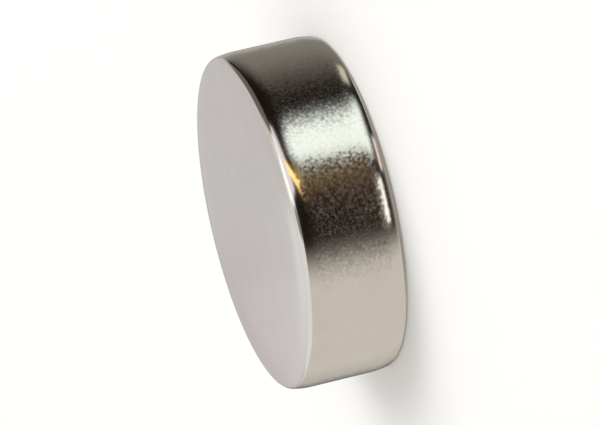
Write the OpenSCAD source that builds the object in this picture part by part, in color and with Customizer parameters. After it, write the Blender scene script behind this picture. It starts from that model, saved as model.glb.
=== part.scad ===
// Disc magnet: a sintered neodymium disc, ground flat on both faces, tumbled to round its
// edges and plated with nickel. Millimetres, +Z up along the axis, origin at the centre of
// the lower face, so the disc rests on that face.

/* [Disc] */
// Diameter over the plated rim
disc_d = 10; // [6:0.5:50]
// Thickness over the two plated faces
disc_t = 3; // [2:0.25:20]

/* [Rounded edges] */
// Radius of the tight corner that runs into a face
corner_r = 0.15; // [0.06:0.01:0.3]
// Radius of the gentle shoulder between that corner and the straight rim
shoulder_r = 2; // [0.8:0.1:2.5]
// Degrees that the shoulder turns away from the rim before the corner takes over
shoulder_angle = 14; // [4:1:18]

/* [Hidden] */
$fn = 180;

rim_r = disc_d / 2;
half_t = disc_t / 2;
// How far in from the rim the face stops being flat
edge_w = shoulder_r - (shoulder_r - corner_r) * cos(shoulder_angle);
// How far from the face the rim stops being straight
edge_h = corner_r + (shoulder_r - corner_r) * sin(shoulder_angle);

// The shoulder's stretch of arc, tangent to the straight rim at its lower end
module shoulder_arc() {
    intersection() {
        translate([rim_r - shoulder_r, half_t - edge_h]) circle(r = shoulder_r);
        translate([0, half_t - edge_h]) square([rim_r, shoulder_r * sin(shoulder_angle)]);
    }
}

// The corner's arc, tangent to the shoulder below it and to the face above it
module corner_arc() {
    translate([rim_r - edge_w, half_t - corner_r]) circle(r = corner_r);
}

// Section from the axis to the rim, from mid-thickness up to one face
module half_section() {
    square([rim_r - edge_w, half_t]);
    square([rim_r, half_t - edge_h]);
    shoulder_arc();
    corner_arc();
}

// The whole magnet, turned from its section, the same at both faces
module disc_magnet() {
    color([0.76, 0.74, 0.70])
        translate([0, 0, half_t])
            rotate_extrude() {
                half_section();
                mirror([0, 1]) half_section();
            }
}

disc_magnet();
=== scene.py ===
import math

import bmesh
import bpy
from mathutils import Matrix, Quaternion, Vector


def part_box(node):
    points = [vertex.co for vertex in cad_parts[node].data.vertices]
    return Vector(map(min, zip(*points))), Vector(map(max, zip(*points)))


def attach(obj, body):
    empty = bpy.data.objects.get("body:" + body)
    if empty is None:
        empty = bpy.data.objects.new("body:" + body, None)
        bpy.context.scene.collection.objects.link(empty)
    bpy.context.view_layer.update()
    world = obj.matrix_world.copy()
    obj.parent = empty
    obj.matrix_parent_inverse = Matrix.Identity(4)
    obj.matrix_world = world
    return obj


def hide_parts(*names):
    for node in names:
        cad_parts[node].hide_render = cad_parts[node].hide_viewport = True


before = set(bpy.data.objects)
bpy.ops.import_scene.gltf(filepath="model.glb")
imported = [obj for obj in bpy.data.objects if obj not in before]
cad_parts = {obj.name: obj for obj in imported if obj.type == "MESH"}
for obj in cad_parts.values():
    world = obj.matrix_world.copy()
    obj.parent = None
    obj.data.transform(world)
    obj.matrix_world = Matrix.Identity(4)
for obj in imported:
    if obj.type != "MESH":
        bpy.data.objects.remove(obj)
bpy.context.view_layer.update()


# ---- The magnet ------------------------------------------------------------------------
# One sintered neodymium disc: pressed, sintered, ground flat on both faces, and tumbled until
# its edges are round. It is finished with bright electroplated nickel and is one piece.

MM = 0.001

disc_low, disc_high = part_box("disc_magnet")
mid_z = (disc_low[2] + disc_high[2]) / 2
half_t = (disc_high[2] - disc_low[2]) / 2
# The solid's rim has flat sides and so falls a little short, which the rounding makes up for
rim_r = round((disc_high[0] - disc_low[0]) / 2, 5)

# A tight corner runs into the face, and a gentle shoulder leads from it to the straight rim
corner_r = 0.15 * MM
shoulder_r = 2 * MM
shoulder_angle = math.radians(14)
# How far in from the rim, and how far down from the face, the rounding reaches
edge_w = shoulder_r - (shoulder_r - corner_r) * math.cos(shoulder_angle)
edge_h = corner_r + (shoulder_r - corner_r) * math.sin(shoulder_angle)
face_r = rim_r - edge_w
# Tumbling lets the flat face fall off a little before the corner. It is too little to need a
# shape, so only the normals lean there
roll_w = 1.2 * MM
roll_lean = math.radians(6)


def arc(centre, radius, start, end, steps):
    """Points of an arc in the section, each with the direction that the surface faces."""
    for i in range(steps + 1):
        angle = start + (end - start) * i / steps
        out = (math.cos(angle), math.sin(angle))
        yield (centre[0] + radius * out[0], centre[1] + radius * out[1]), out


def face_normal(radius):
    """The direction that the face looks in, which leans out a little towards its edge."""
    near = min(1, max(0, 1 - (face_r - radius) / roll_w))
    lean = roll_lean * near * near
    return math.sin(lean), math.cos(lean)


def upper_section():
    """The section from the middle of the rim up to the middle of the face."""
    straight = half_t - edge_h
    rim_rings = 8
    for i in range(rim_rings):
        yield (rim_r, straight * i / rim_rings), (1, 0)

    shoulder_rings = 8
    shoulder_centre = (rim_r - shoulder_r, straight)
    yield from arc(shoulder_centre, shoulder_r, 0, shoulder_angle, shoulder_rings)

    # The corner's last normals lean no less than those of the face's edge that they meet
    corner_rings = 14
    corner_centre = (face_r, half_t - corner_r)
    corner = arc(corner_centre, corner_r, shoulder_angle, math.pi / 2, corner_rings)
    for point, out in list(corner)[1:]:
        yield point, max(out, face_normal(point[0]))

    roll_rings = 8
    for i in range(1, roll_rings + 1):
        radius = face_r - roll_w * i / roll_rings
        yield (radius, half_t), face_normal(radius)

    flat_rings = 8
    for i in range(1, flat_rings):
        yield ((face_r - roll_w) * (1 - i / flat_rings), half_t), (0, 1)


def turned_disc(name, around=384):
    """The disc turned from its section, the same above and below mid-thickness. Around is the
    number of points in each ring."""
    upper = list(upper_section())
    lower = [((r, -z), (nr, -nz)) for (r, z), (nr, nz) in reversed(upper[1:])]
    mesh = bmesh.new()
    normals = []
    rings = []
    for (r, z), (nr, nz) in lower + upper:
        ring = []
        for i in range(around):
            turn = math.tau * i / around
            ring.append(mesh.verts.new((r * math.cos(turn), r * math.sin(turn), mid_z + z)))
            normals.append((nr * math.cos(turn), nr * math.sin(turn), nz))
        rings.append(ring)
    for a, b in zip(rings, rings[1:]):
        for i in range(around):
            j = (i + 1) % around
            mesh.faces.new((a[i], a[j], b[j], b[i]))
    for ring, side in ((rings[0], -1), (rings[-1], 1)):
        centre = mesh.verts.new((0, 0, mid_z + side * half_t))
        normals.append((0, 0, side))
        for i in range(around):
            j = (i + 1) % around
            mesh.faces.new((ring[i], ring[j], centre) if side > 0 else (ring[j], ring[i], centre))
    data = bpy.data.meshes.new(name)
    mesh.to_mesh(data)
    mesh.free()
    data.shade_smooth()
    data.normals_split_custom_set_from_vertices(normals)
    obj = bpy.data.objects.new(name, data)
    bpy.context.collection.objects.link(obj)
    return obj


def linear(hex_colour):
    """An sRGB hex colour as the linear RGBA that the shaders take."""
    parts = [int(hex_colour[i : i + 2], 16) / 255 for i in (1, 3, 5)]
    return [c / 12.92 if c <= 0.04045 else ((c + 0.055) / 1.055) ** 2.4 for c in parts] + [1]


def add(tree, kind, settings=None, links=None):
    """A node of this kind, with its settings and the sockets that feed it, by name or by place."""
    node = tree.nodes.new(kind)
    for key, value in (settings or {}).items():
        if isinstance(key, int) or key in node.inputs:
            node.inputs[key].default_value = value
        else:
            setattr(node, key, value)
    for key, source in (links or {}).items():
        tree.links.new(source, node.inputs[key])
    return node


def bright_nickel():
    """Bright electroplated nickel: a warm mirror that keeps the surface it was laid on. The rim
    has the fine pebble of the sintered body, in which lights break up into grains. The tumbled
    corners are smooth and draw crisp lines, and the ground faces are an even, soft mirror."""
    # The real grain is finer than this: it is drawn as coarse as it needs to be to show
    pebble_size = 0.09 * MM
    pebble_lean = 0.13
    steep_lean = 0.7
    ripple_size = 1.4 * MM
    ripple_depth = 0.0012 * MM
    cloud_size = 0.8 * MM
    # Roughness of the corner, of the rim's most polished and dullest spots, and what the face
    # adds to the corner's
    corner_roughness = 0.1
    rim_polish = 0.13
    rim_matte = 0.22
    face_extra = 0.06
    # Pebble noise below which the rim is at its most polished, and above which at its dullest
    polished_below = 0.35
    dull_above = 0.65
    # Depths below the nearer face at which the rim's pebble and the face's finish start and
    # are full
    pebble_from = 0.18 * MM
    pebble_full = 0.5 * MM
    face_from = 0.02 * MM
    face_full = 0.002 * MM

    material = bpy.data.materials.new("bright_nickel_plate")
    material.use_nodes = True
    tree = material.node_tree
    shader = tree.nodes["Principled BSDF"]
    shader.inputs["Metallic"].default_value = 1
    place = add(tree, "ShaderNodeTexCoord").outputs["Object"]

    # How far a point lies from mid-thickness tells rim, corner and face apart
    height = add(tree, "ShaderNodeSeparateXYZ", links={0: place}).outputs["Z"]
    from_middle = add(tree, "ShaderNodeMath", {"operation": "SUBTRACT", 1: mid_z}, {0: height})
    off_middle = add(tree, "ShaderNodeMath", {"operation": "ABSOLUTE"}, {0: from_middle.outputs[0]})
    on_rim = add(
        tree,
        "ShaderNodeMapRange",
        {
            "interpolation_type": "SMOOTHSTEP",
            "From Min": half_t - pebble_from,
            "From Max": half_t - pebble_full,
        },
        {"Value": off_middle.outputs[0]},
    ).outputs["Result"]
    on_face = add(
        tree,
        "ShaderNodeMapRange",
        {"From Min": half_t - face_from, "From Max": half_t - face_full},
        {"Value": off_middle.outputs[0]},
    ).outputs["Result"]

    pebble = add(
        tree,
        "ShaderNodeTexNoise",
        {"Scale": 1 / pebble_size, "Detail": 2, "Roughness": 0.5},
        {"Vector": place},
    )
    centred = add(
        tree,
        "ShaderNodeVectorMath",
        {"operation": "SUBTRACT", 1: (0.5, 0.5, 0.5)},
        {0: pebble.outputs["Color"]},
    )
    # Most pebbles lean a little, and the few that lie furthest from the mean lean far more
    spread = add(
        tree,
        "ShaderNodeVectorMath",
        {"operation": "DOT_PRODUCT"},
        {0: centred.outputs[0], 1: centred.outputs[0]},
    )
    strength = add(
        tree,
        "ShaderNodeMath",
        {"operation": "MULTIPLY_ADD", 1: steep_lean, 2: pebble_lean},
        {0: spread.outputs["Value"]},
    )
    amount = add(
        tree, "ShaderNodeMath", {"operation": "MULTIPLY"}, {0: on_rim, 1: strength.outputs[0]}
    )
    lean = add(
        tree,
        "ShaderNodeVectorMath",
        {"operation": "SCALE"},
        {0: centred.outputs[0], "Scale": amount.outputs[0]},
    )
    facing = add(tree, "ShaderNodeNewGeometry").outputs["Normal"]
    leaning = add(
        tree, "ShaderNodeVectorMath", {"operation": "ADD"}, {0: facing, 1: lean.outputs[0]}
    )
    pebbled = add(
        tree, "ShaderNodeVectorMath", {"operation": "NORMALIZE"}, {0: leaning.outputs[0]}
    )
    ripple = add(
        tree, "ShaderNodeTexNoise", {"Scale": 1 / ripple_size, "Detail": 1}, {"Vector": place}
    )
    bump = add(
        tree,
        "ShaderNodeBump",
        {"Distance": ripple_depth, "Strength": 1},
        {"Height": ripple.outputs["Fac"], "Normal": pebbled.outputs[0]},
    )
    tree.links.new(bump.outputs["Normal"], shader.inputs["Normal"])

    matte = add(
        tree,
        "ShaderNodeMapRange",
        {
            "From Min": polished_below,
            "From Max": dull_above,
            "To Min": rim_polish - corner_roughness,
            "To Max": rim_matte - corner_roughness,
        },
        {"Value": pebble.outputs["Fac"]},
    )
    rim_part = add(
        tree,
        "ShaderNodeMath",
        {"operation": "MULTIPLY_ADD", 2: corner_roughness},
        {0: on_rim, 1: matte.outputs["Result"]},
    )
    roughness = add(
        tree,
        "ShaderNodeMath",
        {"operation": "MULTIPLY_ADD", 1: face_extra},
        {0: on_face, 2: rim_part.outputs[0]},
    )
    tree.links.new(roughness.outputs[0], shader.inputs["Roughness"])

    cloud = add(
        tree, "ShaderNodeTexNoise", {"Scale": 1 / cloud_size, "Detail": 3}, {"Vector": place}
    )
    tint = add(
        tree,
        "ShaderNodeMix",
        {"data_type": "RGBA", 6: linear("#D0C9BC"), 7: linear("#D8D1C4")},
        {0: cloud.outputs["Fac"]},
    )
    tree.links.new(tint.outputs[2], shader.inputs["Base Color"])
    return material


magnet = turned_disc("disc_magnet_plated")
magnet.data.materials.append(bright_nickel())
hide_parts("disc_magnet")
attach(magnet, "root")


# ---- The studio --------------------------------------------------------------------------
# A plain pale paper floor under soft light, in a pale room. Feathered cards all round the magnet
# are what its bright nickel mirrors. Only reflections show the cards, and they leave the floor
# out, so that floor and nickel are each lit by themselves.

floor_radius = 0.5
floor_mesh = bmesh.new()
bmesh.ops.create_circle(floor_mesh, cap_ends=True, segments=96, radius=floor_radius)
floor_data = bpy.data.meshes.new("floor")
floor_mesh.to_mesh(floor_data)
floor_mesh.free()
floor = bpy.data.objects.new("floor", floor_data)
bpy.context.collection.objects.link(floor)
paper = bpy.data.materials.new("white_paper")
paper.use_nodes = True
paper.node_tree.nodes["Principled BSDF"].inputs["Base Color"].default_value = linear("#F2F2F0")
paper.node_tree.nodes["Principled BSDF"].inputs["Roughness"].default_value = 0.9
floor.data.materials.append(paper)
floor.visible_glossy = False
floor.visible_shadow = False

world = bpy.data.worlds.new("pale_room")
bpy.context.scene.world = world
world.use_nodes = True
world.node_tree.nodes["Background"].inputs["Color"].default_value = linear("#FFFDFA")
world.node_tree.nodes["Background"].inputs["Strength"].default_value = 0.82


def toward(azimuth, elevation):
    """The direction with this azimuth and elevation in degrees."""
    turn, rise = math.radians(azimuth), math.radians(elevation)
    return Vector((math.cos(turn) * math.cos(rise), math.sin(turn) * math.cos(rise), math.sin(rise)))


def ramp(value, width):
    """A rise from 0 to 1 over this width."""
    return min(1, value / width) if width else 1


def card(name, distance, azimuth, elevation, soft, colour, strength, lean=(0, 0)):
    """A glowing card on a sphere round the magnet, over these ranges of degrees. Soft holds the
    width of its faded edges: from and to in azimuth, bottom and top in elevation. Lean is how
    many degrees its two sides shift in azimuth for each degree of elevation."""
    steps = 36
    mesh = bmesh.new()
    fade_layer = mesh.verts.layers.float.new("fade")
    centre = Vector((0, 0, mid_z))
    middle = (elevation[0] + elevation[1]) / 2
    grid = []
    for j in range(steps + 1):
        row = []
        el = elevation[0] + (elevation[1] - elevation[0]) * j / steps
        az_from, az_to = (side + tilt * (el - middle) for side, tilt in zip(azimuth, lean))
        for i in range(steps + 1):
            az = az_from + (az_to - az_from) * i / steps
            vert = mesh.verts.new(centre + toward(az, el) * distance)
            across = min(ramp(az - az_from, soft[0]), ramp(az_to - az, soft[1]))
            along = min(ramp(el - elevation[0], soft[2]), ramp(elevation[1] - el, soft[3]))
            inside = max(0, 1 - math.hypot(1 - across, 1 - along))
            vert[fade_layer] = inside * inside * (3 - 2 * inside)
            row.append(vert)
        grid.append(row)
    for a, b in zip(grid, grid[1:]):
        for i in range(steps):
            mesh.faces.new((a[i], a[i + 1], b[i + 1], b[i]))
    data = bpy.data.meshes.new(name)
    mesh.to_mesh(data)
    mesh.free()
    panel = bpy.data.objects.new(name, data)
    bpy.context.collection.objects.link(panel)
    glow = bpy.data.materials.new(name + "_glow")
    glow.use_nodes = True
    # The cards are only mirrored and light nothing else, so they aren't sampled as lamps
    glow.cycles.emission_sampling = "NONE"
    tree = glow.node_tree
    tree.nodes.clear()
    fade = add(tree, "ShaderNodeAttribute", {"attribute_name": "fade"})
    clear = add(tree, "ShaderNodeBsdfTransparent")
    light = add(tree, "ShaderNodeEmission", {"Color": linear(colour), "Strength": strength})
    mix = add(
        tree,
        "ShaderNodeMixShader",
        links={0: fade.outputs["Fac"], 1: clear.outputs[0], 2: light.outputs[0]},
    )
    add(tree, "ShaderNodeOutputMaterial", links={"Surface": mix.outputs[0]})
    data.materials.append(glow)
    panel.visible_camera = False
    panel.visible_diffuse = False
    panel.visible_shadow = False


# Three papers stand close by, at these distances in metres, and tint part of the face. The other
# cards stand behind them, the nearest first and each a little further out than the one before.
# Every card has its azimuth, elevation and soft edges in degrees, colour, strength and lean
card("pale_fold", 0.038, (88, 108), (17.5, 52), (3, 14, 6, 22), "#F2F8FF", 1.05)
card("rose_paper", 0.04, (91.5, 130), (14.3, 34), (3, 14, 3, 14), "#FBF6FF", 0.84)
card("pink_fold", 0.045, (89.5, 130), (0, 34), (3, 14, 9, 14), "#FCF7FF", 0.675)
CARDS = [
    ("softbox", (-64.5, -19), (-36, 5.5), (12, 20, 8, 14), "#EEFBFF", 1.65, (0.3, -0.7)),
    ("warm_lamp", (-73.5, -60), (-3, 11), (3, 3, 4, 3), "#FFDA90", 2.2, (1.6, 1.6)),
    ("top_core", (-76, -14), (59, 80), (8, 8, 6, 8), "#FAFAFF", 4.2, (0.3, 0.6)),
    ("white_slip", (56, 90), (47, 82), (6, 6, 4, 8), "#F4F8FF", 1.5),
    ("top_light", (-87, -11), (24, 75), (6, 6, 6, 10), "#F2F2FF", 1.45, (0, 0.9)),
    ("top_skirt", (-86, -24), (6, 32), (6, 6, 4, 4), "#F0F0FF", 1.25, (-0.7, 0)),
    ("low_strip", (-114, -76), (-35, -26.5), (6, 6, 2.5, 2.5), "#FAFBFF", 2.1),
    ("dim_strip", (-116, -72), (-29, -18), (6, 6, 4, 3), "#FFEAD2", 0.2),
    ("rose_strip", (-76, -44), (-42, -36), (6, 6, 2, 2), "#FFF4F6", 1.2),
    ("low_beige", (-6, 24), (-33, -24.5), (10, 10, 3, 3), "#FFFFEC", 0.85),
    ("warm_glow", (-78, -60), (-16, 1), (8, 4, 8, 5), "#FFD898", 0.44, (0.8, 0.8)),
    ("brown_panel", (-98, -56), (-30, 0), (30, 4, 8, 8), "#FFD2A8", 0.078),
    ("grey_panel", (-112, -84), (14, 70), (8, 8, 8, 10), "#FAF9FF", 0.35),
    ("backdrop", (50, 130), (0, 34), (18, 14, 9, 14), "#F8F7FF", 0.76),
    ("grey_wall", (-14, 72), (-50, 3), (60, 16, 10, 16), "#FFFBF6", 0.28),
    ("dark_flag", (-142, 67), (-50, 20), (32, 20, 12, 8), "#FFD4C4", 0.016),
    ("upper_grey", (-112, 84), (12, 62), (10, 18, 6, 10), "#FFFAF6", 0.18),
    ("edge_flag", (77, 122), (-38, 4), (9, 24, 12, 10), "#FFFAF4", 0.13),
    ("back_wall", (48, 150), (-60, 10), (20, 44, 14, 14), "#FFFCF8", 0.52),
    ("overhead", (84, 260), (14, 89), (24, 20, 12, 1), "#F0F5FF", 1.16),
    ("shaded_paper", (-180, 180), (-89, -42), (0, 0, 0, 20), "#FFFCF8", 0.4),
]
nearest_card = 0.28
card_gap = 0.01
for number, (name, *settings) in enumerate(CARDS):
    card(name, nearest_card + card_gap * number, *settings)

# A soft key light on the +X side, which is the upper side in the camera's view, lays a faint
# shadow on the floor. The nickel doesn't mirror it
key_data = bpy.data.lights.new("key", "AREA")
key_data.size = 0.25
key_data.energy = 0.5
key = bpy.data.objects.new("key", key_data)
bpy.context.collection.objects.link(key)
key_from = toward(10, 50)
key_distance = 0.3
key.location = key_from * key_distance
key.rotation_mode = "QUATERNION"
key.rotation_quaternion = key_from.to_track_quat("Z", "Y")
key.visible_glossy = False

# The camera looks across the upper face from just under 15 degrees above its plane, 32 radii
# away. It is turned about its own axis so that the magnet's axis lies nearly level in view
camera_data = bpy.data.cameras.new("camera")
camera_data.lens = 330
camera_data.clip_start = 0.01
camera_data.clip_end = 2
camera = bpy.data.objects.new("camera", camera_data)
bpy.context.collection.objects.link(camera)
bpy.context.scene.camera = camera
camera_el = math.radians(14.9)
camera_roll = math.radians(103.3)
camera_distance = 32 * rim_r
back = Vector((0, -math.cos(camera_el), math.sin(camera_el)))
camera.location = Vector((0, 0, mid_z)) + back * camera_distance
camera.rotation_mode = "QUATERNION"
level_view = back.to_track_quat("Z", "Y")
camera.rotation_quaternion = level_view @ Quaternion((0, 0, 1), -camera_roll)

bpy.context.scene.view_settings.view_transform = "Standard"
